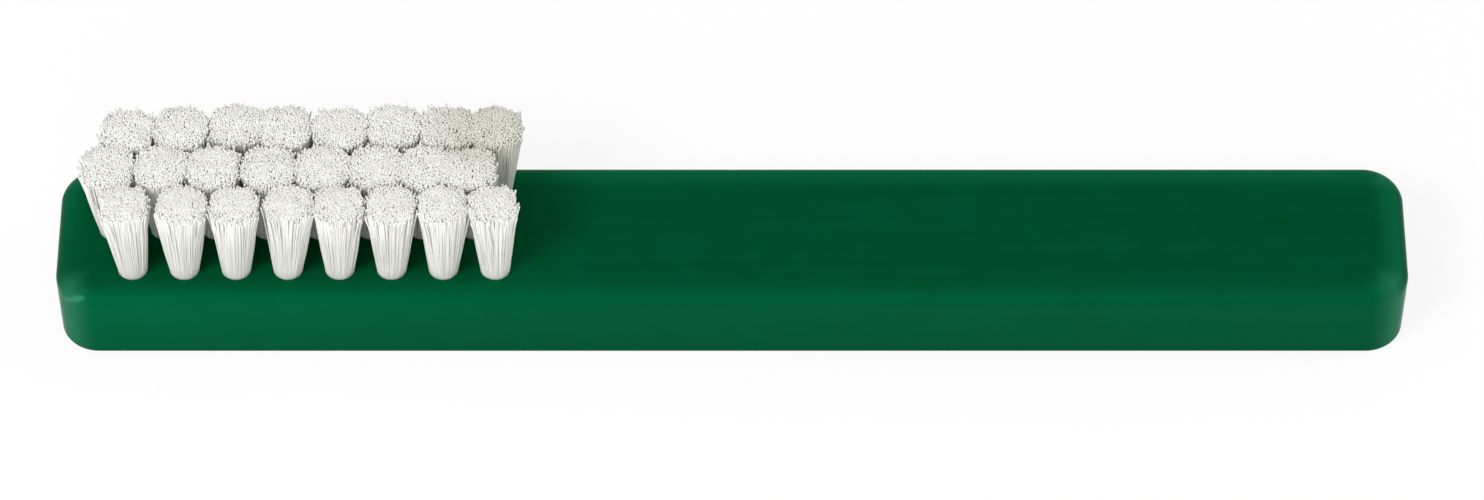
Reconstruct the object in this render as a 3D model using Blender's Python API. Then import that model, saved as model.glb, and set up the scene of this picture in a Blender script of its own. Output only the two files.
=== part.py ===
"""A small cleaning brush: a solid moulded bar with three rows of staple-set nylon tufts at one end.

X runs along the bar, with the tufts at its -X end. The origin is the middle of the face that the bar rests on.
Each bundle of filament is folded round a flat metal anchor at the bottom of a blind hole, and the two ends of the
anchor bite into the wall of that hole.
"""

import math
import random

import bmesh
import bpy

# The bar, a drafted moulding with a round edge all along its top and a small one at its foot
BAR_LENGTH = 0.140
BAR_WIDTH = 0.018
BAR_HEIGHT = 0.0098
CORNER_RADIUS = 0.0042
TOP_FILLET = 0.0019
FOOT_FILLET = 0.0006
WALL_DRAFT = math.radians(1.5)

# The holes that the tufts are set in
HOLE_DIAMETER = 0.0032
HOLE_DEPTH = 0.0065
DRILL_POINT_ANGLE = math.radians(118)
COLUMN_PITCH = 0.00535
COLUMN_COUNT = 8
ROWS = {"front": -1, "middle": 0, "rear": 1}
HEAD_MARGIN = 0.0081
EDGE_MARGIN = 0.0001
MIDDLE_ROW_SHIFT = 0.0022

# The tufts, each a root that fills its hole and sixteen strands that open out above the face
TUFT_HEIGHT = 0.0101
TIP_UNEVENNESS = 0.0004
TUFT_CLEARANCE = 0.0001
TUFT_GAP = 0.0002
STRAND_GAP = 0.00016
STRANDS_ACROSS = 4
STRAND_GROWTH_SHARE = 1.6
END_LEAN = 0.0005
ROW_LEAN = 0.0002

# The anchors, flat strips on edge in the folds of the bundles
ANCHOR_THICKNESS = 0.00035
ANCHOR_HEIGHT = 0.0018
ANCHOR_BITE = 0.00025
ANCHOR_CHAMFER = 0.0003
ANCHOR_CLEARANCE = 0.0001
FOLD_THICKNESS = 0.0009

# How far a cutter reaches past the face that it cuts through
CUT_OVERRUN = 0.001

# Facets of the round forms
CORNER_STEPS = 8
TOP_FILLET_STEPS = 6
FOOT_FILLET_STEPS = 3
HOLE_SIDES = 24

# Sizes worked out from the ones above
ROW_PITCH = BAR_WIDTH / 2 - TOP_FILLET - EDGE_MARGIN - HOLE_DIAMETER / 2
FIRST_COLUMN_X = HEAD_MARGIN - BAR_LENGTH / 2
ROOT_RADIUS = HOLE_DIAMETER / 2 - TUFT_CLEARANCE
ANCHOR_LENGTH = HOLE_DIAMETER + 2 * ANCHOR_BITE
ANCHOR_DROP = HOLE_DEPTH - FOLD_THICKNESS - ANCHOR_CLEARANCE
CLOSEST_TUFTS = min(
    COLUMN_PITCH,
    math.hypot(MIDDLE_ROW_SHIFT, ROW_PITCH),
    math.hypot(COLUMN_PITCH - MIDDLE_ROW_SHIFT, ROW_PITCH),
)
TUFT_TOP_RADIUS = (CLOSEST_TUFTS - TUFT_GAP) / 2


def clear_scene():
    for obj in list(bpy.data.objects):
        bpy.data.objects.remove(obj, do_unlink=True)


def linear(hex_colour):
    """The linear colour of an sRGB hex value."""
    channels = [int(hex_colour[place : place + 2], 16) / 255 for place in (1, 3, 5)]
    return [c / 12.92 if c <= 0.04045 else ((c + 0.055) / 1.055) ** 2.4 for c in channels]


def make_material(name, hex_colour, roughness, metallic=0.0):
    material = bpy.data.materials.new(name)
    material.use_nodes = True
    shader = material.node_tree.nodes["Principled BSDF"]
    shader.inputs["Base Color"].default_value = (*linear(hex_colour), 1.0)
    shader.inputs["Roughness"].default_value = roughness
    shader.inputs["Metallic"].default_value = metallic
    return material


def add_object(name, mesh, parent, location=(0, 0, 0)):
    obj = bpy.data.objects.new(name, mesh)
    obj.location = location
    obj.parent = parent
    bpy.context.scene.collection.objects.link(obj)
    return obj


def mesh_from(bm, name, material=None):
    """The finished mesh of a bmesh, with round forms shaded smooth."""
    mesh = bpy.data.meshes.new(name)
    bm.to_mesh(mesh)
    bm.free()
    if material:
        mesh.materials.append(material)
    mesh.shade_smooth()
    mesh.set_sharp_from_angle(angle=math.radians(30))
    return mesh


def hide_cutter(obj):
    obj.hide_render = True
    obj.display_type = "WIRE"


def point_foot(bm, radius):
    """Draws the lowest face of each round body out to the point that a drill leaves."""
    low = min(vert.co.z for vert in bm.verts)
    feet = [face for face in bm.faces if all(math.isclose(v.co.z, low, rel_tol=1e-6) for v in face.verts)]
    points = bmesh.ops.poke(bm, faces=feet)["verts"]
    drop = radius / math.tan(DRILL_POINT_ANGLE / 2)
    bmesh.ops.translate(bm, verts=points, vec=(0, 0, -drop))


def cut(obj, cutter):
    modifier = obj.modifiers.new("cut_" + cutter.name, "BOOLEAN")
    modifier.operation = "DIFFERENCE"
    modifier.solver = "EXACT"
    modifier.object = cutter


def hole_places():
    """(row, number, x, y) of each hole, numbered from the brushing end."""
    places = []
    for row, side in ROWS.items():
        shift = 0 if side else MIDDLE_ROW_SHIFT
        for column in range(COLUMN_COUNT):
            x = FIRST_COLUMN_X - shift + column * COLUMN_PITCH
            places.append((row, column + 1, x, side * ROW_PITCH))
    return places


def rounded_outline(inset):
    """The bar's outline seen from above, drawn in by inset, anticlockwise."""
    radius = CORNER_RADIUS - inset
    reach_x = BAR_LENGTH / 2 - CORNER_RADIUS
    reach_y = BAR_WIDTH / 2 - CORNER_RADIUS
    points = []
    for corner, (side_x, side_y) in enumerate(((1, 1), (-1, 1), (-1, -1), (1, -1))):
        for step in range(CORNER_STEPS + 1):
            angle = math.pi / 2 * (corner + step / CORNER_STEPS)
            x = side_x * reach_x + radius * math.cos(angle)
            y = side_y * reach_y + radius * math.sin(angle)
            points.append((x, y))
    return points


def bar_levels():
    """(inset, z) of the bar's side from the foot up: foot fillet, drafted wall, top fillet."""
    wall_top = BAR_HEIGHT - TOP_FILLET
    levels = []
    for step in range(FOOT_FILLET_STEPS + 1):
        angle = math.pi / 2 * step / FOOT_FILLET_STEPS
        z = FOOT_FILLET * (1 - math.cos(angle))
        drafted = (wall_top - z) * math.tan(WALL_DRAFT)
        levels.append((drafted + FOOT_FILLET * (1 - math.sin(angle)), z))
    for step in range(TOP_FILLET_STEPS + 1):
        angle = math.pi / 2 * step / TOP_FILLET_STEPS
        levels.append((TOP_FILLET * (1 - math.cos(angle)), wall_top + TOP_FILLET * math.sin(angle)))
    return levels


def make_handle(parent, material, cutters):
    """The bar, lofted through its levels, then drilled and pocketed."""
    bm = bmesh.new()
    rings = []
    for inset, z in bar_levels():
        rings.append([bm.verts.new((x, y, z)) for x, y in rounded_outline(inset)])
    for lower, upper in zip(rings, rings[1:]):
        for a in range(len(lower)):
            b = (a + 1) % len(lower)
            bm.faces.new((lower[a], lower[b], upper[b], upper[a]))
    bm.faces.new(reversed(rings[0]))
    bm.faces.new(rings[-1])
    handle = add_object("handle", mesh_from(bm, "handle", material), parent)
    for cutter in cutters:
        cut(handle, cutter)
    return handle


def make_hole_cutter(parent):
    """One drill for each hole, from above the top face to the bottom of the hole."""
    bm = bmesh.new()
    length = HOLE_DEPTH + CUT_OVERRUN
    for _, _, x, y in hole_places():
        drill = bmesh.ops.create_cone(
            bm,
            cap_ends=True,
            segments=HOLE_SIDES,
            radius1=HOLE_DIAMETER / 2,
            radius2=HOLE_DIAMETER / 2,
            depth=length,
        )
        middle = BAR_HEIGHT - HOLE_DEPTH + length / 2
        bmesh.ops.translate(bm, verts=drill["verts"], vec=(x, y, middle))
    point_foot(bm, HOLE_DIAMETER / 2)
    cutter = add_object("hole_cutter", mesh_from(bm, "hole_cutter"), parent)
    hide_cutter(cutter)
    return cutter


def anchor_outline(grow):
    """The anchor's face, with its two lower corners clipped, made larger all round by grow."""
    end = ANCHOR_LENGTH / 2 + grow
    low = -ANCHOR_HEIGHT / 2 - grow
    high = ANCHOR_HEIGHT / 2 + grow
    return [
        (-end + ANCHOR_CHAMFER, low),
        (end - ANCHOR_CHAMFER, low),
        (end, low + ANCHOR_CHAMFER),
        (end, high),
        (-end, high),
        (-end, low + ANCHOR_CHAMFER),
    ]


def add_anchor_shape(bm, grow, place):
    """A strip on edge along X: its face drawn at -Y and extruded to +Y."""
    x, y, z = place
    half = ANCHOR_THICKNESS / 2 + grow
    near = [bm.verts.new((x + px, y - half, z + pz)) for px, pz in anchor_outline(grow)]
    face = bm.faces.new(near)
    extruded = bmesh.ops.extrude_face_region(bm, geom=[face])
    far = [item for item in extruded["geom"] if isinstance(item, bmesh.types.BMVert)]
    bmesh.ops.translate(bm, verts=far, vec=(0, 2 * half, 0))


def anchor_middle_z():
    return BAR_HEIGHT - ANCHOR_DROP + ANCHOR_HEIGHT / 2


def make_pocket_cutter(parent):
    """The room that each anchor takes, in the fold of its bundle and in the wall of its hole."""
    bm = bmesh.new()
    for _, _, x, y in hole_places():
        add_anchor_shape(bm, ANCHOR_CLEARANCE, (x, y, anchor_middle_z()))
    bmesh.ops.recalc_face_normals(bm, faces=bm.faces[:])
    cutter = add_object("pocket_cutter", mesh_from(bm, "pocket_cutter"), parent)
    hide_cutter(cutter)
    return cutter


def make_anchors(parent, material):
    bm = bmesh.new()
    add_anchor_shape(bm, 0, (0, 0, 0))
    bmesh.ops.recalc_face_normals(bm, faces=bm.faces[:])
    mesh = mesh_from(bm, "anchor", material)
    for row, number, x, y in hole_places():
        add_object(f"anchor_{row}_{number}", mesh, parent, (x, y, anchor_middle_z()))


def on_disc(x, y):
    """A point of the square from -1 to 1, moved so that the square fills a round disc."""
    return x * math.sqrt(1 - y * y / 2), y * math.sqrt(1 - x * x / 2)


def tuft_bmesh(lean, rng):
    """A tuft about the mouth of its hole: a round root below, and strands that open out above."""
    bm = bmesh.new()
    bmesh.ops.create_grid(bm, x_segments=STRANDS_ACROSS, y_segments=STRANDS_ACROSS, size=1)
    for vert in bm.verts:
        x, y = on_disc(vert.co.x, vert.co.y)
        vert.co = (x * ROOT_RADIUS, y * ROOT_RADIUS, 0)
    cells = bm.faces[:]
    rim = [edge for edge in bm.edges if edge.is_boundary]
    wall = bmesh.ops.extrude_edge_only(bm, edges=rim)["geom"]
    foot = [item for item in wall if isinstance(item, bmesh.types.BMVert)]
    bmesh.ops.translate(bm, verts=foot, vec=(0, 0, TUFT_CLEARANCE - HOLE_DEPTH))
    bmesh.ops.holes_fill(bm, edges=[edge for edge in bm.edges if edge.is_boundary])
    point_foot(bm, ROOT_RADIUS)
    bmesh.ops.inset_individual(bm, faces=cells, thickness=STRAND_GAP / 2, use_even_offset=True)
    tips = bmesh.ops.extrude_discrete_faces(bm, faces=cells)["faces"]
    spread = TUFT_TOP_RADIUS / (ROOT_RADIUS - STRAND_GAP / 2)
    for tip in tips:
        centre = tip.calc_center_median()
        height = TUFT_HEIGHT - rng.random() * TIP_UNEVENNESS
        for vert in tip.verts:
            offset = vert.co - centre
            vert.co.x = centre.x * spread + offset.x * STRAND_GROWTH_SHARE + lean[0]
            vert.co.y = centre.y * spread + offset.y * STRAND_GROWTH_SHARE + lean[1]
            vert.co.z = height
    bmesh.ops.recalc_face_normals(bm, faces=bm.faces[:])
    return bm


def make_tufts(parent, material, pocket_cutter):
    rng = random.Random(7)
    for row, number, x, y in hole_places():
        lean = (-END_LEAN if number == 1 else 0, ROWS[row] * ROW_LEAN)
        name = f"tuft_{row}_{number}"
        mesh = mesh_from(tuft_bmesh(lean, rng), name, material)
        tuft = add_object(name, mesh, parent, (x, y, BAR_HEIGHT))
        cut(tuft, pocket_cutter)


def main():
    clear_scene()
    brush = bpy.data.objects.new("brush", None)
    bpy.context.scene.collection.objects.link(brush)
    green = make_material("green_moulded_plastic", "#014A2C", 0.32)
    nylon = make_material("white_nylon_filament", "#E8E7E2", 0.45)
    steel = make_material("steel_strip", "#A9AAA8", 0.35, metallic=1.0)
    hole_cutter = make_hole_cutter(brush)
    pocket_cutter = make_pocket_cutter(brush)
    make_handle(brush, green, (hole_cutter, pocket_cutter))
    make_anchors(brush, steel)
    make_tufts(brush, nylon, pocket_cutter)


main()
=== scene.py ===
# %% [markdown]
# # A small cleaning brush
#
# The brush is one green moulded bar with 24 tufts of white nylon set in one end. Its sizes come from the
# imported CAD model, which is loaded as a fixed frame. Everything made below sits on that frame and gives it
# its finished look.

# %% Load the frame
import math

import bmesh
import bpy
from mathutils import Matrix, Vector


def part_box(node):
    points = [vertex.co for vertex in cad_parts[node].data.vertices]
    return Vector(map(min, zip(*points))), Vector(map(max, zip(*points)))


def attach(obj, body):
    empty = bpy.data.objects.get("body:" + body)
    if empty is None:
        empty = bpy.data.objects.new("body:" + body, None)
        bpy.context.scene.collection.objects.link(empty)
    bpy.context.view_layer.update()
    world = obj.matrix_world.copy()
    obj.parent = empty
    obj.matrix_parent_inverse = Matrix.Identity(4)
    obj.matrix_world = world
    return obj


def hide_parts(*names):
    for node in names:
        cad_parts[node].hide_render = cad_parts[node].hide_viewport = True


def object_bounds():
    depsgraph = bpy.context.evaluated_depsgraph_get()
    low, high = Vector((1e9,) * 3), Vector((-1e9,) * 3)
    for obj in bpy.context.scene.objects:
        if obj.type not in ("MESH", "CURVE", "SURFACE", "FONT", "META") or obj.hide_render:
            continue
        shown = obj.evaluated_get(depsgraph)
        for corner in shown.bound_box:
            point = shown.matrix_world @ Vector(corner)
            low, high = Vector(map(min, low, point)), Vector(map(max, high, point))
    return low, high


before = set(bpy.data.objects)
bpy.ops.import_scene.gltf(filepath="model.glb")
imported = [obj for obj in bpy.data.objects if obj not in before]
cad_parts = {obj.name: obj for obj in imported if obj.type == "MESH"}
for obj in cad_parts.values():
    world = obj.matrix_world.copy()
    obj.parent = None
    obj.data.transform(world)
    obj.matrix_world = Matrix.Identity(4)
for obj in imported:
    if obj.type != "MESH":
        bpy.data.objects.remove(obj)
cad_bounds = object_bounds()
bar_low, bar_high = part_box("handle")
print("bar, mm:", [round(1000 * side, 2) for side in bar_high - bar_low])

# %% [markdown]
# The camera stands square to the long side of the brush and looks down on it at about 50 degrees. The far
# long edge looks hardly shorter than the near one, so the camera was well back, with a long lens. The lens
# follows from the number of pixels that a metre takes in the photograph, and the aim from where a point
# near the middle of the bar falls in it.

# %% Place the camera
MM = 0.001
PICTURE_WIDTH = 1484
PICTURE_HEIGHT = 500
SENSOR_WIDTH_MM = 36
CLIP_START = 0.01
CAMERA_TILT = math.radians(50)
CAMERA_DISTANCE = 0.77
PIXELS_PER_METRE = 9585
AIM_PIXEL = (732.2, 260.6)
AIM_POINT = Vector((0, 0, 4.5 * MM))

scene = bpy.context.scene
to_camera = Vector((0, -math.cos(CAMERA_TILT), math.sin(CAMERA_TILT)))
picture_right = Vector((1, 0, 0))
picture_up = Vector((0, math.sin(CAMERA_TILT), math.cos(CAMERA_TILT)))
right = (PICTURE_WIDTH / 2 - AIM_PIXEL[0]) / PIXELS_PER_METRE
up = (AIM_PIXEL[1] - PICTURE_HEIGHT / 2) / PIXELS_PER_METRE
aim = AIM_POINT + picture_right * right + picture_up * up

camera = bpy.data.objects.new("camera", bpy.data.cameras.new("camera"))
camera.data.sensor_width = SENSOR_WIDTH_MM
camera.data.lens = SENSOR_WIDTH_MM * PIXELS_PER_METRE * CAMERA_DISTANCE / PICTURE_WIDTH
camera.data.clip_start = CLIP_START
camera.location = aim + to_camera * CAMERA_DISTANCE
camera.rotation_euler = to_camera.to_track_quat("Z", "Y").to_euler()
scene.collection.objects.link(camera)
scene.camera = camera
scene.view_settings.view_transform = "Standard"
print("lens, mm:", round(camera.data.lens, 1))

# %% [markdown]
# Each colour below is written as the sRGB value that a picture shows, and one function turns it to linear
# light. Each material and each Geometry Nodes tree is built with one small function, which adds a node,
# sets it and links it. Another writes out the inputs of a ramp from one level to another.

# %% Colours and nodes
WHITE = "#FFFFFF"
SMOOTH = {"interpolation_type": "SMOOTHSTEP"}


def linear(hex_colour):
    """The linear RGBA colour of an sRGB hex value."""
    channels = [int(hex_colour[place : place + 2], 16) / 255 for place in (1, 3, 5)]
    return [c / 12.92 if c <= 0.04045 else ((c + 0.055) / 1.055) ** 2.4 for c in channels] + [1.0]


def set_inputs(tree, node, inputs):
    """Sets a node's inputs. inputs maps a socket's name or number to a value, or to what feeds it."""
    for key, value in dict(inputs).items():
        if isinstance(value, bpy.types.Node):
            value = value.outputs[0]
        if isinstance(value, bpy.types.NodeSocket):
            tree.links.new(value, node.inputs[key])
        else:
            node.inputs[key].default_value = value


def add_node(tree, kind, inputs=(), **settings):
    """A new node of that kind, with its settings and its inputs."""
    node = tree.nodes.new(kind)
    for name, value in settings.items():
        setattr(node, name, value)
    set_inputs(tree, node, inputs)
    return node


def ramp(value, ends, levels=(0.0, 1.0)):
    """The inputs of a Map Range that goes from the first level to the second between the two ends."""
    start, end = ends
    low, high = levels
    return {"Value": value, "From Min": start, "From Max": end, "To Min": low, "To Max": high}


def per_metre(millimetres):
    """The scale that makes a pattern's features that long: Object coordinates are in metres."""
    return 1000 / millimetres


# %% [markdown]
# The brush lies on seamless white paper. The camera, gloss and glass see the paper and the room as plain
# white. A small share of real light stays in what the camera sees of the paper, so the brush keeps its own
# faint shadow.

# %% The white paper
PAPER_SIZE = 4.0
PAPER_DROP = 0.02 * MM
PAPER_GLOW = 1.0
SHADOW_SHARE = 0.15


def seen_directly(tree):
    """1 for camera, glossy and transmission rays, and 0 for the rays that carry light to the brush."""
    rays = add_node(tree, "ShaderNodeLightPath").outputs
    seen, mirrored, through = rays["Is Camera Ray"], rays["Is Glossy Ray"], rays["Is Transmission Ray"]
    pair = add_node(tree, "ShaderNodeMath", {0: seen, 1: mirrored}, operation="MAXIMUM")
    return add_node(tree, "ShaderNodeMath", {0: pair, 1: through}, operation="MAXIMUM")


edge = PAPER_SIZE / 2
paper_mesh = bpy.data.meshes.new("paper")
sheet = [(-edge, -edge, 0), (edge, -edge, 0), (edge, edge, 0), (-edge, edge, 0)]
paper_mesh.from_pydata(sheet, [], [(0, 1, 2, 3)])
paper = bpy.data.objects.new("paper", paper_mesh)
paper.location.z = -PAPER_DROP
scene.collection.objects.link(paper)

paper_material = bpy.data.materials.new("matt white paper")
paper_material.use_nodes = True
tree = paper_material.node_tree
tree.nodes.remove(tree.nodes["Principled BSDF"])
lit = add_node(tree, "ShaderNodeBsdfDiffuse", {"Color": linear(WHITE)})
glow = add_node(tree, "ShaderNodeEmission", {"Color": linear(WHITE), "Strength": PAPER_GLOW})
veil = add_node(tree, "ShaderNodeMixShader", {0: SHADOW_SHARE, 1: glow, 2: lit})
seen = add_node(tree, "ShaderNodeMixShader", {0: seen_directly(tree), 1: lit, 2: veil})
set_inputs(tree, tree.nodes["Material Output"], {"Surface": seen})
paper_mesh.materials.append(paper_material)

# %% [markdown]
# The light is soft. The tufts throw a faint broad shadow to their right, so a round lamp stands high up on
# the left. The front of the bar is still a little lighter than its top, which takes a broad lamp low in
# front, and a weaker one on the right keeps the tufts' right sides and the grip end from going dark. An
# even room fills in the rest.

# %% The lamps and the room
ROOM_LEVEL = 0.40
SEEN_LEVEL = 1.0
LAMPS = {
    "left_lamp": {"from": (-0.50, -0.51, 0.70), "distance": 0.8, "size": 0.35, "power": 3.7},
    "right_lamp": {"from": (0.85, 0.15, 0.35), "distance": 0.8, "size": 0.4, "power": 2.1},
    "front_lamp": {"from": (0.0, -0.90, 0.43), "distance": 1.2, "size": 1.0, "power": 3.65},
}

world = bpy.data.worlds.new("room")
scene.world = world
world.use_nodes = True
tree = world.node_tree
level = ramp(seen_directly(tree), (0, 1), (ROOM_LEVEL, SEEN_LEVEL))
level = add_node(tree, "ShaderNodeMapRange", level)
set_inputs(tree, tree.nodes["Background"], {"Color": linear(WHITE), "Strength": level})

for name, facts in LAMPS.items():
    lamp = bpy.data.objects.new(name, bpy.data.lights.new(name, "AREA"))
    lamp.data.shape = "DISK"
    lamp.data.size = facts["size"]
    lamp.data.energy = facts["power"]
    towards = Vector(facts["from"]).normalized()
    lamp.location = towards * facts["distance"]
    lamp.rotation_euler = towards.to_track_quat("Z", "Y").to_euler()
    scene.collection.objects.link(lamp)

# %% [markdown]
# The bar is solid polypropylene, coloured all through and moulded in one shot. The mould was spark eroded
# and then rubbed smooth, so the skin has a soft gloss over a fine grain, and long handling leaves it a
# little uneven. A bar as thick as this cools slowly, which leaves wide, very shallow waves in its flat
# faces. The plastic ran lengthways as it filled the mould, which leaves faint long lines in its colour.

# %% The plastic
PLASTIC_GREEN = "#00482A"
PLASTIC_GREEN_PALE = "#014D2F"
SHADE_RANGE = (0.7, 1.3)
FLOW_LENGTH_SHARE = 0.03
PATTERNS = {  # the size of each one's features in mm, and how much finer detail it has
    "waves": (26, 1.0),
    "mottle": (3.5, 4.0),
    "grain": (0.30, 2.0),
    "flow": (1.1, 2.0),
}

plastic = bpy.data.materials.new("moulded polypropylene, green")
plastic.use_nodes = True
tree = plastic.node_tree
place = add_node(tree, "ShaderNodeTexCoord").outputs["Object"]
patterns = {}
for name, (size_mm, detail) in PATTERNS.items():
    noise = {"Vector": place, "Scale": per_metre(size_mm), "Detail": detail}
    patterns[name] = add_node(tree, "ShaderNodeTexNoise", noise)
along_flow = add_node(tree, "ShaderNodeMapping", {"Vector": place, "Scale": (FLOW_LENGTH_SHARE, 1, 1)})
set_inputs(tree, patterns["flow"], {"Vector": along_flow})
shade = {0: patterns["mottle"], 1: patterns["flow"]}
shade = add_node(tree, "ShaderNodeMath", shade, operation="ADD")
shade = add_node(tree, "ShaderNodeMapRange", ramp(shade, SHADE_RANGE))

# %% [markdown]
# The round edge is painted paler, a painted highlight, most along the far side and round the grip end.
# The painted band is found by how far in a point lies from the bar's outline seen from above. That is the
# usual distance to a rectangle with round corners: measure from the rectangle that the corner arcs are
# centred on. The third size of that rectangle is past any height, so height plays no part.

# %% The painted edge highlight
CORNER_RADIUS = 4.2 * MM
PLASTIC_EDGE_HIGHLIGHT = "#0A6440"
EDGE_HIGHLIGHT_FADES = (3.8 * MM, 1.2 * MM)
WALL_STARTS = (0.2 * MM, 1.0 * MM)
FAR_SIDE_HIGHLIGHT = 0.7
GRIP_END_HIGHLIGHT = 0.65
GRIP_END_HIGHLIGHT_FADES = (6 * MM, 2 * MM)

core = Vector((bar_high.x - CORNER_RADIUS, bar_high.y - CORNER_RADIUS, 2 * bar_high.z))
folded = add_node(tree, "ShaderNodeVectorMath", {0: place}, operation="ABSOLUTE")
beyond = add_node(tree, "ShaderNodeVectorMath", {0: folded, 1: core}, operation="SUBTRACT")
past = add_node(tree, "ShaderNodeVectorMath", {0: beyond, 1: (0, 0, 0)}, operation="MAXIMUM")
past_length = add_node(tree, "ShaderNodeVectorMath", {0: past}, operation="LENGTH").outputs["Value"]
beyond_x, beyond_y, _ = add_node(tree, "ShaderNodeSeparateXYZ", {0: beyond}).outputs
within = add_node(tree, "ShaderNodeMath", {0: beyond_x, 1: beyond_y}, operation="MAXIMUM")
within = add_node(tree, "ShaderNodeMath", {0: within, 1: 0.0}, operation="MINIMUM")
outward = add_node(tree, "ShaderNodeMath", {0: past_length, 1: within}, operation="ADD")
inward = add_node(tree, "ShaderNodeMath", {0: CORNER_RADIUS, 1: outward}, operation="SUBTRACT")

# painted highlight: the round edge is painted paler, most along the far side and round the grip end
x, y, z = add_node(tree, "ShaderNodeSeparateXYZ", {0: place}).outputs
to_end = add_node(tree, "ShaderNodeMath", {0: bar_high.x, 1: x}, operation="SUBTRACT")
grip_end = ramp(to_end, GRIP_END_HIGHLIGHT_FADES, (0, GRIP_END_HIGHLIGHT))
grip_end = add_node(tree, "ShaderNodeMapRange", grip_end, **SMOOTH)
far = add_node(tree, "ShaderNodeMapRange", ramp(y, (bar_low.y, bar_high.y), (0, FAR_SIDE_HIGHLIGHT)))
highlight_sides = add_node(tree, "ShaderNodeMath", {0: far, 1: grip_end}, operation="MAXIMUM")
edge_band = add_node(tree, "ShaderNodeMapRange", ramp(inward, EDGE_HIGHLIGHT_FADES), **SMOOTH)
off_wall = add_node(tree, "ShaderNodeMapRange", ramp(inward, WALL_STARTS), **SMOOTH)
painted_edge_highlight = add_node(tree, "ShaderNodeMath", {0: edge_band, 1: off_wall}, operation="MULTIPLY")
painted_edge_highlight = add_node(tree, "ShaderNodeMath", {0: painted_edge_highlight, 1: highlight_sides}, operation="MULTIPLY")

# %% [markdown]
# The near wall is painted a little brighter, a painted highlight: all along, more towards the top of
# the wall, and most at the brushing end. It runs out on the round edge above.

# %% The painted highlight on the near wall
PLASTIC_NEAR_HIGHLIGHT = "#006642"
NEAR_WALL_FADES = (-7.0 * MM, -8.3 * MM)
NEAR_EDGE_FADES = (9.75 * MM, 8.9 * MM)
NEAR_HIGHLIGHT_FROM = 7.2 * MM
FOOT_HIGHLIGHT_SHARE = 0.4
HEAD_HIGHLIGHT = 0.45
GRIP_HIGHLIGHT = 0.2
GRIP_HIGHLIGHT_STARTS = -15 * MM

near = add_node(tree, "ShaderNodeMapRange", ramp(y, NEAR_WALL_FADES), **SMOOTH)
below_edge = add_node(tree, "ShaderNodeMapRange", ramp(z, NEAR_EDGE_FADES), **SMOOTH)
on_wall = add_node(tree, "ShaderNodeMath", {0: near, 1: below_edge}, operation="MULTIPLY")
upward = add_node(tree, "ShaderNodeMapRange", ramp(z, (0, NEAR_HIGHLIGHT_FROM), (FOOT_HIGHLIGHT_SHARE, 1)))
lengthways = ramp(x, (bar_low.x, GRIP_HIGHLIGHT_STARTS), (HEAD_HIGHLIGHT, GRIP_HIGHLIGHT))
lengthways = add_node(tree, "ShaderNodeMapRange", lengthways)
# painted highlight on the near wall, strongest towards its top at the brushing end
painted_near_highlight = add_node(tree, "ShaderNodeMath", {0: upward, 1: lengthways}, operation="MULTIPLY")
painted_near_highlight = add_node(tree, "ShaderNodeMath", {0: on_wall, 1: painted_near_highlight}, operation="MULTIPLY")

# %% [markdown]
# The four upright corners are painted paler still, a painted reflection where they turn edge on. On the
# near corner of the brushing end a short pale glint is painted, a painted highlight. It is drawn as a long
# thin ball, turned to lie along the corner.

# %% The painted corner reflections and glint
PLASTIC_REFLECTION_PALE = "#307C5E"
CORNER_REFLECTION = 0.6
GLINT_PLACE = (-67.9 * MM, -8.2 * MM, 8.2 * MM)
GLINT_SIZES = (1.9 * MM, 0.4 * MM, 0.4 * MM)
GLINT_RUNS = Vector((2.8, -2.0, 2.3))
GLINT_FADES = (1.5, 0.3)

# painted reflection: the upright corners are painted paler
past_x, past_y, _ = add_node(tree, "ShaderNodeSeparateXYZ", {0: past}).outputs
corner = add_node(tree, "ShaderNodeMath", {0: past_x, 1: past_y}, operation="MINIMUM")
corner = ramp(corner, (0, CORNER_RADIUS), (0, CORNER_REFLECTION))
corner = add_node(tree, "ShaderNodeMapRange", corner, **SMOOTH)
# painted highlight: a short pale glint painted on the near corner of the brushing end
turned = GLINT_RUNS.to_track_quat("X", "Z").to_euler()
glint_inputs = {"Vector": place, "Location": GLINT_PLACE, "Rotation": turned, "Scale": GLINT_SIZES}
along_glint = add_node(tree, "ShaderNodeMapping", glint_inputs, vector_type="TEXTURE")
from_glint = add_node(tree, "ShaderNodeVectorMath", {0: along_glint}, operation="LENGTH").outputs["Value"]
painted_glint = add_node(tree, "ShaderNodeMapRange", ramp(from_glint, GLINT_FADES), **SMOOTH)

# %% [markdown]
# The colours now go over one another: the paler green of the flow lines first, then the painted highlights
# of the round edge and the near wall, and the painted reflections and glint of the corners. The skin has the
# waves and the grain in its shape, and the mottle in its gloss.

# %% The skin
PLASTIC_ROUGHNESS = (0.17, 0.24)
PLASTIC_IOR = 1.49
PLASTIC_GLOSS = 0.012
PLASTIC_SPECULAR = "#78FFD0"
PLASTIC_SHEEN = 0.12
PLASTIC_SHEEN_ROUGHNESS = 0.35
PLASTIC_SHEEN_GREEN = "#28FF90"
WAVE_HEIGHT = 0.25 * MM
WAVE_STRENGTH = 0.5
GRAIN_HEIGHT = 0.006 * MM
GRAIN_STRENGTH = 0.25

# the flow lines are the plastic's own tone; the layers after them are painted highlights and reflections
tone = linear(PLASTIC_GREEN)
for share, colour in (
    (shade, PLASTIC_GREEN_PALE),
    (painted_edge_highlight, PLASTIC_EDGE_HIGHLIGHT),
    (painted_near_highlight, PLASTIC_NEAR_HIGHLIGHT),
    (corner, PLASTIC_REFLECTION_PALE),
    (painted_glint, PLASTIC_REFLECTION_PALE),
):
    layer = {0: share, 6: tone, 7: linear(colour)}
    tone = add_node(tree, "ShaderNodeMix", layer, data_type="RGBA").outputs[2]

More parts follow.
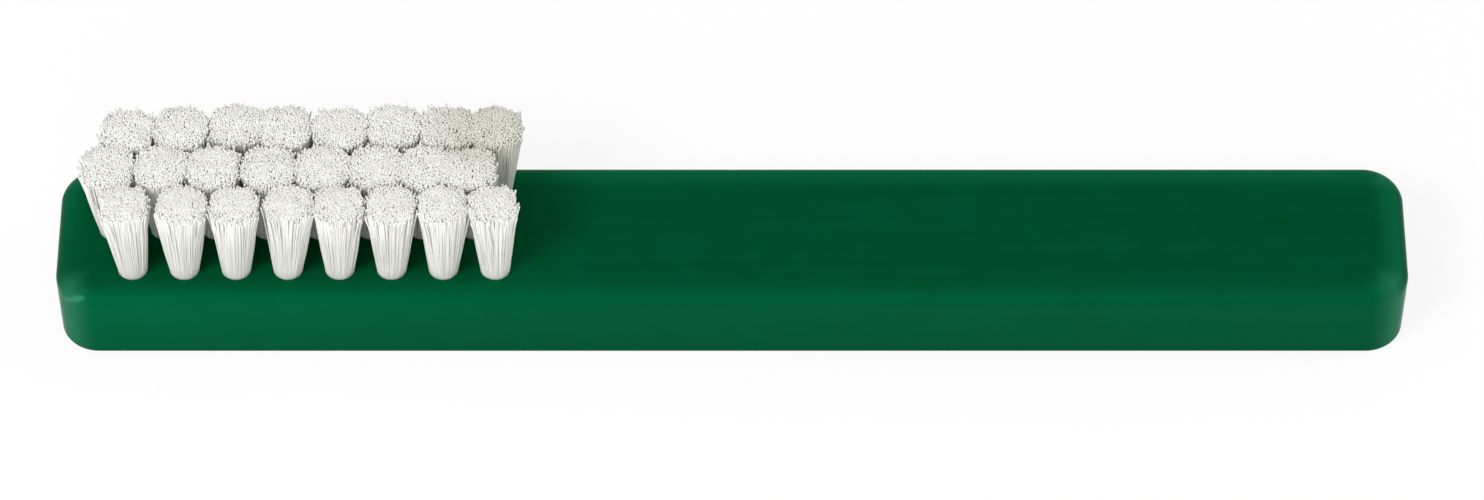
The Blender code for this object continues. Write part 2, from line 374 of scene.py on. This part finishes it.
# polypropylene, moulded: a soft gloss, green even in its sheen, which pales only where the skin is seen
# edge on
rough = add_node(tree, "ShaderNodeMapRange", ramp(patterns["mottle"], (0, 1), PLASTIC_ROUGHNESS))
swell = {"Height": patterns["waves"], "Strength": WAVE_STRENGTH, "Distance": WAVE_HEIGHT}
swell = add_node(tree, "ShaderNodeBump", swell)
skin = {"Height": patterns["grain"], "Normal": swell, "Strength": GRAIN_STRENGTH, "Distance": GRAIN_HEIGHT}
skin = add_node(tree, "ShaderNodeBump", skin)
plastic_inputs = {
    "Base Color": tone,
    "Roughness": rough,
    "Normal": skin,
    "IOR": PLASTIC_IOR,
    "Specular IOR Level": PLASTIC_GLOSS,
    "Specular Tint": linear(PLASTIC_SPECULAR),
    "Sheen Weight": PLASTIC_SHEEN,
    "Sheen Roughness": PLASTIC_SHEEN_ROUGHNESS,
    "Sheen Tint": linear(PLASTIC_SHEEN_GREEN),
}
set_inputs(tree, tree.nodes["Principled BSDF"], plastic_inputs)

# %% [markdown]
# The bar is a plain long block. Seen from above its corners are round. Its walls lean in a little towards
# the foot so that it leaves the mould, a wide round edge runs along the top, and a small one along the
# foot. Lofting one outline through a list of levels makes all of that at once, from the same sizes as the
# CAD model but with finer steps. A narrow rim of flat face beside each round edge keeps the shading of the
# large faces flat.

# %% The bar's outline and levels
TOP_FILLET = 1.9 * MM
FOOT_FILLET = 0.6 * MM
WALL_DRAFT = math.radians(1.5)
CORNER_STEPS = 24
TOP_FILLET_STEPS = 16
FOOT_FILLET_STEPS = 6
FACE_RIM = 0.05 * MM


def rounded_outline(inset):
    """The bar's outline seen from above, drawn in by inset, anticlockwise."""
    radius = CORNER_RADIUS - inset
    points = []
    for corner, (side_x, side_y) in enumerate(((1, 1), (-1, 1), (-1, -1), (1, -1))):
        for step in range(CORNER_STEPS + 1):
            angle = math.pi / 2 * (corner + step / CORNER_STEPS)
            x = side_x * (bar_high.x - CORNER_RADIUS) + radius * math.cos(angle)
            y = side_y * (bar_high.y - CORNER_RADIUS) + radius * math.sin(angle)
            points.append((x, y))
    return points


def bar_levels():
    """(inset, z) of the bar's side from the foot up."""
    wall_top = bar_high.z - TOP_FILLET
    levels = [(wall_top * math.tan(WALL_DRAFT) + FOOT_FILLET + FACE_RIM, 0)]
    for step in range(FOOT_FILLET_STEPS + 1):
        angle = math.pi / 2 * step / FOOT_FILLET_STEPS
        z = FOOT_FILLET * (1 - math.cos(angle))
        levels.append(((wall_top - z) * math.tan(WALL_DRAFT) + FOOT_FILLET * (1 - math.sin(angle)), z))
    for step in range(TOP_FILLET_STEPS + 1):
        angle = math.pi / 2 * step / TOP_FILLET_STEPS
        levels.append((TOP_FILLET * (1 - math.cos(angle)), wall_top + TOP_FILLET * math.sin(angle)))
    return levels + [(TOP_FILLET + FACE_RIM, bar_high.z)]


bm = bmesh.new()
rings = [[bm.verts.new((x, y, z)) for x, y in rounded_outline(inset)] for inset, z in bar_levels()]
for lower, upper in zip(rings, rings[1:]):
    for a, b in zip(range(len(lower)), [*range(1, len(lower)), 0]):
        bm.faces.new((lower[a], lower[b], upper[b], upper[a]))
bm.faces.new(reversed(rings[0]))
bm.faces.new(rings[-1])
bar_mesh = bpy.data.meshes.new("moulded_bar")
bm.to_mesh(bar_mesh)
bm.free()
bar_mesh.materials.append(plastic)
bar = bpy.data.objects.new("moulded_bar", bar_mesh)
scene.collection.objects.link(bar)
print("levels:", len(rings), "points in each:", len(rings[0]))

# %% [markdown]
# Each tuft is set in a drilled hole with a pointed bottom. The drill leaves a hair of a chamfer at the
# mouth. All the drills are one lathe profile, spun at each hole, and a boolean cuts them out. The holes are
# where the CAD model has its anchors, because each anchor lies across the middle of its hole.

# %% The holes
HOLE_RADIUS = 1.6 * MM
HOLE_DEPTH = 6.5 * MM
HOLE_SIDES = 32
DRILL_POINT_ANGLE = math.radians(118)
MOUTH_CHAMFER = 0.06 * MM
DRILL_OVERRUN = 0.3 * MM
SHARP_FROM = math.radians(30)
ROWS = ("front", "middle", "rear")
COLUMNS = 8


def plain_mesh(piece):
    """Turns what a piece's modifiers make into its own mesh, and removes them."""
    evaluated = piece.evaluated_get(bpy.context.evaluated_depsgraph_get())
    mesh = bpy.data.meshes.new_from_object(evaluated)
    piece.modifiers.clear()
    piece.data = mesh
    mesh.name = piece.name


mouths = {}
for row in ROWS:
    for number in range(1, COLUMNS + 1):
        low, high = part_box(f"anchor_{row}_{number}")
        mouths[row, number] = Vector(((low.x + high.x) / 2, (low.y + high.y) / 2, bar_high.z))

profile = [
    (HOLE_RADIUS, -HOLE_DEPTH),
    (HOLE_RADIUS, -MOUTH_CHAMFER),
    (HOLE_RADIUS + MOUTH_CHAMFER + DRILL_OVERRUN, DRILL_OVERRUN),
]
bm = bmesh.new()
for mouth in mouths.values():
    rings = []
    for radius, height in profile:
        turns = [math.tau * side / HOLE_SIDES for side in range(HOLE_SIDES)]
        spots = [mouth + Vector((radius * math.cos(turn), radius * math.sin(turn), height)) for turn in turns]
        rings.append([bm.verts.new(spot) for spot in spots])
    point = bm.verts.new(mouth - Vector((0, 0, HOLE_DEPTH + HOLE_RADIUS / math.tan(DRILL_POINT_ANGLE / 2))))
    for a, b in zip(range(HOLE_SIDES), [*range(1, HOLE_SIDES), 0]):
        bm.faces.new((rings[0][b], rings[0][a], point))
        for lower, upper in zip(rings, rings[1:]):
            bm.faces.new((lower[a], lower[b], upper[b], upper[a]))
    bm.faces.new(rings[-1])
drill_mesh = bpy.data.meshes.new("drills")
bm.to_mesh(drill_mesh)
bm.free()
drills = bpy.data.objects.new("drills", drill_mesh)
scene.collection.objects.link(drills)

boolean = bar.modifiers.new("holes", "BOOLEAN")
boolean.operation = "DIFFERENCE"
boolean.solver = "EXACT"
boolean.object = drills
plain_mesh(bar)
bpy.data.objects.remove(drills)
bar.data.shade_smooth()
bar.data.set_sharp_from_angle(angle=SHARP_FROM)
weighted = bar.modifiers.new("normals", "WEIGHTED_NORMAL")
weighted.keep_sharp = True
plain_mesh(bar)
print("bar faces:", len(bar.data.polygons))

# %% [markdown]
# The tufts are nylon filament under 0.1 mm thick, milky white because the nylon holds air and pigment. A
# machine folds a bundle in two over a thin steel strip and drives the strip into the hole, so each filament
# is a long U with two free ends. Light goes into one filament and out to the next, which is why the bundles
# look so pale. The heads of the two far tufts next to the grip are drawn a little darker and warmer.

# %% The nylon
NYLON_WHITE = "#E6E7E1"
NYLON_SHADE = "#DADAD4"
NYLON_WORN_AND_LIT = "#F4F3EF"
NYLON_DARKER_WARMER = "#E3E1D7"
DARKER_WARMER_PLACE = (-25.5 * MM, 5.4 * MM, 19.9 * MM)
DARKER_WARMER_FADES = (7.5 * MM, 3 * MM)
WORN_AND_LIT_FROM = 0.5
FLECK_MM = 0.7
FLECK_DETAIL = 2.0
NYLON_ROUGHNESS = (0.38, 0.55)
NYLON_IOR = 1.53
NYLON_GLOSS = 0.3

# nylon 6, drawn: a low gloss along each filament and a soft milky body, and no two filaments quite the same
# white; the upper part is painted the whitest, partly worn ends and partly painted light on the heads
nylon = bpy.data.materials.new("drawn nylon filament, white")
nylon.use_nodes = True
tree = nylon.node_tree
place = add_node(tree, "ShaderNodeTexCoord").outputs["Object"]
fleck = {"Vector": place, "Scale": per_metre(FLECK_MM), "Detail": FLECK_DETAIL}
fleck = add_node(tree, "ShaderNodeTexNoise", fleck)
own = add_node(tree, "ShaderNodeAttribute", attribute_name="tone").outputs["Fac"]
shaded = add_node(tree, "ShaderNodeMath", {0: own, 1: fleck}, operation="MULTIPLY")
risen = add_node(tree, "ShaderNodeAttribute", attribute_name="rise").outputs["Fac"]
# the upper part of each filament is painted whiter: partly worn ends, partly painted light on the heads
worn_and_lit = add_node(tree, "ShaderNodeMapRange", ramp(risen, (WORN_AND_LIT_FROM, 1)))
# the heads of the two far tufts next to the grip are drawn darker and warmer
away = add_node(tree, "ShaderNodeVectorMath", {0: place, 1: DARKER_WARMER_PLACE}, operation="DISTANCE")
darker_warmer = ramp(away.outputs["Value"], DARKER_WARMER_FADES)
darker_warmer = add_node(tree, "ShaderNodeMapRange", darker_warmer, **SMOOTH)
white = linear(NYLON_WHITE)
for share, colour in ((shaded, NYLON_SHADE), (worn_and_lit, NYLON_WORN_AND_LIT), (darker_warmer, NYLON_DARKER_WARMER)):
    layer = {0: share, 6: white, 7: linear(colour)}
    white = add_node(tree, "ShaderNodeMix", layer, data_type="RGBA").outputs[2]
rough = add_node(tree, "ShaderNodeMapRange", ramp(fleck, (0, 1), NYLON_ROUGHNESS))
nylon_inputs = {"Base Color": white, "Roughness": rough, "IOR": NYLON_IOR, "Specular IOR Level": NYLON_GLOSS}
set_inputs(tree, tree.nodes["Principled BSDF"], nylon_inputs)

# %% [markdown]
# Geometry Nodes draw the filaments. The path of one filament is written in plain shares: how far out to its
# own side of the anchor, how far up to the tip, and how deep in the hole. The tree copies that path once
# for each filament, gives each copy its own place in the bundle and its own small bends, and sweeps a round
# section along it.

# %% The path of one filament
FILAMENT_DIAMETER = 0.086 * MM
# how far a filament passes below the anchor's lower edge, in its own diameters: in the middle of the fold,
# and at its turns
FOLD_DROP_SHARE = 0.6
TURN_DROP_SHARE = 0.3
LEG_RISES = (0, 0.35, 0.65, 0.86, 1)
SHARES = ("side", "rise", "depth", "beside", "under")

fold_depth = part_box("anchor_front_1")[0].z - bar_high.z
half_path = [
    (0, 0, fold_depth - FOLD_DROP_SHARE * FILAMENT_DIAMETER, 0, 1),
    (1, 0, fold_depth - TURN_DROP_SHARE * FILAMENT_DIAMETER, 1, 0),
    *((1, rise, 0, 0, 0) for rise in LEG_RISES),
]
whole_path = [(-point[0], *point[1:]) for point in reversed(half_path[1:])] + half_path
path_mesh = bpy.data.meshes.new("filament_path")
steps = [(n, n + 1) for n in range(len(whole_path) - 1)]
path_mesh.from_pydata([(n, 0, 0) for n in range(len(whole_path))], steps, [])
for name, values in zip(SHARES, zip(*whole_path)):
    kept = path_mesh.attributes.new(name, "FLOAT", "POINT")
    kept.data.foreach_set("value", [float(value) for value in values])
print("points in a filament:", len(whole_path))

# %% [markdown]
# The inputs of the tree are the sizes that a brush maker would name. Its first nodes turn the drawn path
# into a curve and copy it once for each filament in the hole.

# %% The tufting tree: its inputs and its copies
INPUTS = {
    "Path": "Geometry",
    "Mouth": "Vector",
    "Filaments": "Int",
    "Diameter": "Float",
    "Tip Growth": "Float",
    "Root Radius": "Float",
    "Tip Radius": "Float",
    "Crowding": "Float",
    "Tip Height": "Float",
    "Unevenness": "Float",
    "Rim Wear": "Float",
    "Crown": "Float",
    "Lean": "Vector",
    "Flare": "Float",
    "Clumping": "Float",
    "Clump Size": "Float",
    "Frizz": "Float",
    "Stray Share": "Float",
    "Stray Factor": "Float",
    "Splay": "Float",
    "Bend": "Float",
    "Anchor Room": "Float",
    "Fold Nesting": "Float",
    "Seed": "Int",
    "Material": "Material",
}
tufting = bpy.data.node_groups.new("tufting", "GeometryNodeTree")
identifiers = {}
for name, kind in INPUTS.items():
    socket = tufting.interface.new_socket(name, in_out="INPUT", socket_type="NodeSocket" + kind)
    identifiers[name] = socket.identifier
tufting.interface.new_socket("Tuft", in_out="OUTPUT", socket_type="NodeSocketGeometry")
given = add_node(tufting, "NodeGroupInput").outputs
drawn = add_node(tufting, "GeometryNodeMeshToCurve", {"Mesh": given["Path"]})
drawn = {"Geometry": drawn, "Amount": given["Filaments"]}
copies = add_node(tufting, "GeometryNodeDuplicateElements", drawn, domain="SPLINE")
filament = copies.outputs["Duplicate Index"]
side, rise, depth, beside, under = (
    add_node(tufting, "GeometryNodeInputNamedAttribute", {"Name": name}, data_type="FLOAT") for name in SHARES
)

# %% [markdown]
# The roots follow a sunflower pattern, which packs a round hole evenly: each filament turns by the golden
# share of the way round from the one before it, and sits further out with the square root of its number.
# The pattern fills half a disc, because the other leg of each filament fills the other half. Down beside
# the anchor the legs move out to make room for it.

# %% The tufting tree: the roots
GOLDEN_SHARE = 0.618034

order = add_node(tufting, "ShaderNodeMath", {0: filament, 1: 0.5}, operation="ADD")
order = add_node(tufting, "ShaderNodeMath", {0: order, 1: given["Filaments"]}, operation="DIVIDE")
reach = add_node(tufting, "ShaderNodeMath", {0: order, 1: 0.5}, operation="POWER")
reach = add_node(tufting, "ShaderNodeMath", {0: reach, 1: given["Root Radius"]}, operation="MULTIPLY")
turn = add_node(tufting, "ShaderNodeMath", {0: filament, 1: GOLDEN_SHARE}, operation="MULTIPLY")
turn = add_node(tufting, "ShaderNodeMath", {0: turn}, operation="FRACT")
turn = add_node(tufting, "ShaderNodeMath", {0: turn, 1: math.pi}, operation="MULTIPLY")
spoke = add_node(tufting, "ShaderNodeCombineXYZ", {"X": reach})
spot = add_node(tufting, "ShaderNodeVectorRotate", {"Vector": spoke, "Angle": turn}, rotation_type="Z_AXIS")
along, across, _ = add_node(tufting, "ShaderNodeSeparateXYZ", {0: spot}).outputs
room = add_node(tufting, "ShaderNodeMath", {0: beside, 1: given["Anchor Room"]}, operation="MULTIPLY")
pushed = ramp(across, (0, given["Root Radius"]), (room, given["Root Radius"]))
pushed = add_node(tufting, "ShaderNodeMapRange", pushed)
sided = add_node(tufting, "ShaderNodeMath", {0: pushed, 1: side}, operation="MULTIPLY")
root = add_node(tufting, "ShaderNodeCombineXYZ", {"X": along, "Y": sided})

# %% [markdown]
# A tip is its root spread out by the flare of the tuft and leaned over with the whole tuft. The heads stand
# so close that they press each other squarer than they would grow alone: a round head becomes a soft square
# where its radius is measured by fourth powers, and the crowding says how far it goes that way. Use then
# bends the bundle in small clumps, which a noise field over the roots gives: neighbours move together, so
# the tuft stays closed.

# %% The tufting tree: where the tips stand
# the middle of the field's values, and more than that in height, so that clumps sink rather than rise
CLUMP_REST = (0.5, 0.5, 0.6)
CLUMP_DETAIL = 1.0

spread = {0: given["Tip Radius"], 1: given["Root Radius"]}
spread = add_node(tufting, "ShaderNodeMath", spread, operation="DIVIDE")
squares = add_node(tufting, "ShaderNodeVectorMath", {0: root, 1: root}, operation="MULTIPLY")
fourths = add_node(tufting, "ShaderNodeVectorMath", {0: squares, 1: squares}, operation="DOT_PRODUCT")
squared_off = add_node(tufting, "ShaderNodeMath", {0: fourths.outputs["Value"], 1: 1 / 4}, operation="POWER")
rounded = add_node(tufting, "ShaderNodeVectorMath", {0: root}, operation="LENGTH").outputs["Value"]
pressed = add_node(tufting, "ShaderNodeMath", {0: rounded, 1: squared_off}, operation="DIVIDE")
pressed = add_node(tufting, "ShaderNodeMix", {0: given["Crowding"], 2: 1.0, 3: pressed}).outputs[0]
spread = add_node(tufting, "ShaderNodeMath", {0: spread, 1: pressed}, operation="MULTIPLY")
tip = add_node(tufting, "ShaderNodeVectorMath", {0: root, 3: spread}, operation="SCALE")
tip = add_node(tufting, "ShaderNodeVectorMath", {0: tip, 1: given["Lean"]}, operation="ADD")
fineness = add_node(tufting, "ShaderNodeMath", {0: 1, 1: given["Clump Size"]}, operation="DIVIDE")
field = {"Vector": root, "W": given["Seed"], "Scale": fineness, "Detail": CLUMP_DETAIL}
field = add_node(tufting, "ShaderNodeTexNoise", field, noise_dimensions="4D")
clump = {0: field.outputs["Color"], 1: CLUMP_REST}
clump = add_node(tufting, "ShaderNodeVectorMath", clump, operation="SUBTRACT")
clump = add_node(tufting, "ShaderNodeVectorMath", {0: clump, 3: given["Clumping"]}, operation="SCALE")
tip = add_node(tufting, "ShaderNodeVectorMath", {0: tip, 1: clump}, operation="ADD")

# %% [markdown]
# Each leg draws its own small numbers, from an identity that no other leg of its tuft has. All tips stray
# a little, some a good deal, and the strays splay outwards. The tips are cut level and use has worn them
# down, most round the rim of each head, so the heads look like soft round bumps.

# %% The tufting tree: strays and wear
NUMBERS_A_TUFT = 1000
NUMBERS_A_FILAMENT = 3
RIM_SHARPNESS = 3.0
STRAY_SEED, PUSH_SEED, LOSS_SEED, SWAY_SEED, TONE_SEED = range(1, 6)

leg = {0: filament, 1: NUMBERS_A_FILAMENT, 2: side}
leg = add_node(tufting, "ShaderNodeMath", leg, operation="MULTIPLY_ADD")
leg = {0: given["Seed"], 1: NUMBERS_A_TUFT, 2: leg}
leg = add_node(tufting, "ShaderNodeMath", leg, operation="MULTIPLY_ADD")
chance = {"ID": leg, "Seed": STRAY_SEED}
chance = add_node(tufting, "FunctionNodeRandomValue", chance, data_type="FLOAT").outputs[1]
stray = ramp(chance, (given["Stray Share"], 0), (1, given["Stray Factor"]))
stray = add_node(tufting, "ShaderNodeMapRange", stray)
knock = add_node(tufting, "ShaderNodeMath", {0: stray, 1: given["Frizz"]}, operation="MULTIPLY")
any_way = {0: (-1, -1, 0), 1: (1, 1, 0), "ID": leg}
push = {**any_way, "Seed": PUSH_SEED}
push = add_node(tufting, "FunctionNodeRandomValue", push, data_type="FLOAT_VECTOR")
splay = add_node(tufting, "ShaderNodeMath", {0: given["Splay"], 1: given["Root Radius"]}, operation="DIVIDE")
splay = add_node(tufting, "ShaderNodeVectorMath", {0: root, 3: splay}, operation="SCALE")
push = add_node(tufting, "ShaderNodeVectorMath", {0: push, 1: splay}, operation="ADD")
push = add_node(tufting, "ShaderNodeVectorMath", {0: push, 3: knock}, operation="SCALE")
rim = add_node(tufting, "ShaderNodeMath", {0: order, 1: RIM_SHARPNESS}, operation="POWER")
wear = ramp(rim, (0, 1), (given["Unevenness"], given["Rim Wear"]))
wear = add_node(tufting, "ShaderNodeMapRange", wear)
loss = {"ID": leg, "Seed": LOSS_SEED}
loss = add_node(tufting, "FunctionNodeRandomValue", loss, data_type="FLOAT").outputs[1]
loss = add_node(tufting, "ShaderNodeMath", {0: loss, 1: wear}, operation="MULTIPLY")
loss = add_node(tufting, "ShaderNodeMath", {0: order, 1: given["Crown"], 2: loss}, operation="MULTIPLY_ADD")
height = add_node(tufting, "ShaderNodeMath", {0: given["Tip Height"], 1: loss}, operation="SUBTRACT")

# %% [markdown]
# Between root and tip each leg follows the flare of the tuft and bows a little to one side. A stray leaves
# its bundle only near the tip. Down in the fold, the filaments that stand further from the anchor pass
# further beneath it.

# %% The tufting tree: the legs between
STRAYS_START_LATE = 3.0

flare = add_node(tufting, "ShaderNodeMath", {0: rise, 1: given["Flare"]}, operation="POWER")
place = add_node(tufting, "ShaderNodeMix", {0: flare, 4: root, 5: tip}, data_type="VECTOR").outputs[1]
late = add_node(tufting, "ShaderNodeMath", {0: rise, 1: STRAYS_START_LATE}, operation="POWER")
push = add_node(tufting, "ShaderNodeVectorMath", {0: push, 3: late}, operation="SCALE")
place = add_node(tufting, "ShaderNodeVectorMath", {0: place, 1: push}, operation="ADD")
bow = add_node(tufting, "ShaderNodeMath", {0: rise, 1: math.pi}, operation="MULTIPLY")
bow = add_node(tufting, "ShaderNodeMath", {0: bow}, operation="SINE")
bow = add_node(tufting, "ShaderNodeMath", {0: bow, 1: given["Bend"]}, operation="MULTIPLY")
sway = {**any_way, "Seed": SWAY_SEED}
sway = add_node(tufting, "FunctionNodeRandomValue", sway, data_type="FLOAT_VECTOR")
sway = add_node(tufting, "ShaderNodeVectorMath", {0: sway, 3: bow}, operation="SCALE")
place = add_node(tufting, "ShaderNodeVectorMath", {0: place, 1: sway}, operation="ADD")
nested = add_node(tufting, "ShaderNodeMath", {0: across, 1: given["Fold Nesting"]}, operation="MULTIPLY")
nested = add_node(tufting, "ShaderNodeMath", {0: nested, 1: under}, operation="MULTIPLY")
level = add_node(tufting, "ShaderNodeMath", {0: rise, 1: height, 2: depth}, operation="MULTIPLY_ADD")
level = add_node(tufting, "ShaderNodeMath", {0: level, 1: nested}, operation="SUBTRACT")
level = add_node(tufting, "ShaderNodeCombineXYZ", {"Z": level})
place = add_node(tufting, "ShaderNodeVectorMath", {0: place, 1: level}, operation="ADD")
place = add_node(tufting, "ShaderNodeVectorMath", {0: place, 1: given["Mouth"]}, operation="ADD")
bundle = add_node(tufting, "GeometryNodeSetPosition", {"Geometry": copies, "Position": place})

# %% [markdown]
# Last, each filament gets the number that sets its own shade of white, and a four-sided section is swept
# along it. Four sides, shaded smooth, look round on a filament this thin, and keep thousands of them light.
# Use has split and spread the real ends finer than the picture can show, so each filament is drawn thicker
# towards its tip, as coarse as it needs to close the head. The cut ends are closed.

# %% The tufting tree: the sweep
FILAMENT_SIDES = 4

owner = {0: given["Seed"], 1: NUMBERS_A_TUFT, 2: filament}
owner = add_node(tufting, "ShaderNodeMath", owner, operation="MULTIPLY_ADD")
shade = {"ID": owner, "Seed": TONE_SEED}
shade = add_node(tufting, "FunctionNodeRandomValue", shade, data_type="FLOAT").outputs[1]
toned = {"Geometry": bundle, "Name": "tone", "Value": shade}
store = {"data_type": "FLOAT", "domain": "POINT"}
bundle = add_node(tufting, "GeometryNodeStoreNamedAttribute", toned, **store)
radius = add_node(tufting, "ShaderNodeMath", {0: given["Diameter"], 1: 0.5}, operation="MULTIPLY")
section = {"Resolution": FILAMENT_SIDES, "Radius": radius}
section = add_node(tufting, "GeometryNodeCurvePrimitiveCircle", section)
growth = add_node(tufting, "ShaderNodeMapRange", ramp(rise, (0, 1), (1, given["Tip Growth"])))
swept = {"Curve": bundle, "Profile Curve": section, "Scale": growth, "Fill Caps": True}
swept = add_node(tufting, "GeometryNodeCurveToMesh", swept)
smooth = add_node(tufting, "GeometryNodeSetShadeSmooth", {0: swept, "Shade Smooth": True})
real = add_node(tufting, "GeometryNodeRealizeInstances", {0: smooth})
coated = add_node(tufting, "GeometryNodeSetMaterial", {"Geometry": real, "Material": given["Material"]})
add_node(tufting, "NodeGroupOutput", {"Tuft": coated})
print("nodes in the tree:", len(tufting.nodes))

# %% [markdown]
# The tufts of the photograph don't stand quite alike. Each leans its own way, by up to 0.8 mm at the tips:
# some towards the grip, some away from it, and nearly all a little to the far side. The front row's heads
# have stayed the narrowest. Each tuft is its own piece, as it is on the bench.

# %% The 24 tufts
GRIP_LEANS_MM = {
    "front": (-0.4, 0.15, 0.2, 0.5, 0.2, 0.2, 0.1, 0.0),
    "middle": (-0.2, 0.0, 0.0, 0.45, 0.6, 0.75, 0.6, -0.45),
    "rear": (-0.55, -0.4, -0.1, -0.4, -0.05, 0.15, 0.35, -0.1),
}
FAR_LEANS_MM = {
    "front": (0.5, 0.5, 0.4, 0.6, 0.5, 0.4, 0.5, 0.5),
    "middle": (0.2, 0.3, 0.1, 0.2, 0.2, 0.3, 0.2, 0.1),
    "rear": (-0.1, 0.2, 0.6, 0.25, 0.2, 0.5, 0.25, 0.2),
}
TIP_RADII_MM = {"front": 2.42, "middle": 2.7, "rear": 2.7}
ROOT_CLEARANCE = 0.08 * MM
TOP_CLEARANCE = 0.05 * MM
TUFT = {
    "Filaments": 800,
    "Diameter": FILAMENT_DIAMETER,
    "Tip Growth": 2.5,
    "Root Radius": HOLE_RADIUS - ROOT_CLEARANCE,
    "Crowding": 0.65,
    "Tip Height": cad_bounds[1][2] - bar_high.z - TOP_CLEARANCE,
    "Unevenness": 0.15 * MM,
    "Rim Wear": 0.6 * MM,
    "Crown": 0.32 * MM,
    "Flare": 0.88,
    "Clumping": 0.8 * MM,
    "Clump Size": 1.0 * MM,
    "Frizz": 0.07 * MM,
    "Stray Share": 0.35,
    "Stray Factor": 7.0,
    "Splay": 0.45,
    "Bend": 0.08 * MM,
    "Anchor Room": 0.28 * MM,
    "Fold Nesting": 0.45,
    "Material": nylon,
}
tufts = {}
for seed, (row, number) in enumerate(mouths):
    tuft = bpy.data.objects.new(f"bristles_{row}_{number}", path_mesh.copy())
    scene.collection.objects.link(tuft)
    modifier = tuft.modifiers.new("tufting", "NODES")
    modifier.node_group = tufting
    lean = (GRIP_LEANS_MM[row][number - 1] * MM, FAR_LEANS_MM[row][number - 1] * MM, 0.0)
    own = {"Mouth": tuple(mouths[row, number]), "Lean": lean, "Seed": seed}
    own["Tip Radius"] = TIP_RADII_MM[row] * MM
    for name, value in {**TUFT, **own}.items():
        modifier[identifiers[name]] = value
    plain_mesh(tuft)
    tufts[row, number] = tuft
print("faces in a tuft:", len(tufts["front", 1].data.polygons), "tufts:", len(tufts))

# %% [markdown]
# The anchors are clipped from flat steel strip. They sit deep in the holes, out of sight, and keep the CAD
# model's own shape. Rolling leaves fine lines along the strip, which stretch the gloss.

# %% The steel of the anchors
STEEL_GREY = "#9A9B99"
STEEL_GREY_PALE = "#B9BAB8"
STEEL_ROUGHNESS = (0.28, 0.42)
ROLL_LINE_MM = 0.12
ROLL_LENGTH_SHARE = 0.05

# low-carbon steel, cold rolled and left plain: grey, half bright, with faint lines along the strip
steel = bpy.data.materials.new("cold rolled steel strip")
steel.use_nodes = True
tree = steel.node_tree
place = add_node(tree, "ShaderNodeTexCoord").outputs["Object"]
along_roll = add_node(tree, "ShaderNodeMapping", {"Vector": place, "Scale": (ROLL_LENGTH_SHARE, 1, 1)})
lines = add_node(tree, "ShaderNodeTexNoise", {"Vector": along_roll, "Scale": per_metre(ROLL_LINE_MM)})
greys = {0: lines, 6: linear(STEEL_GREY), 7: linear(STEEL_GREY_PALE)}
grey = add_node(tree, "ShaderNodeMix", greys, data_type="RGBA").outputs[2]
rough = add_node(tree, "ShaderNodeMapRange", ramp(lines, (0, 1), STEEL_ROUGHNESS))
steel_inputs = {"Base Color": grey, "Roughness": rough, "Metallic": 1.0}
set_inputs(tree, tree.nodes["Principled BSDF"], steel_inputs)
for row, number in mouths:
    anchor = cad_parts[f"anchor_{row}_{number}"]
    for material_slot in anchor.material_slots:
        material_slot.material = steel

# %% [markdown]
# Nothing on the brush moves, so each piece rides on the one body. Each stands for its CAD solid, which is
# hidden.

# %% Join the pieces to the frame
for piece, node, material in [
    (bar, "handle", "handle_plastic"),
    *((tuft, f"tuft_{row}_{number}", "bristle_nylon") for (row, number), tuft in tufts.items()),
]:
    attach(piece, "root")
    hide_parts(node)
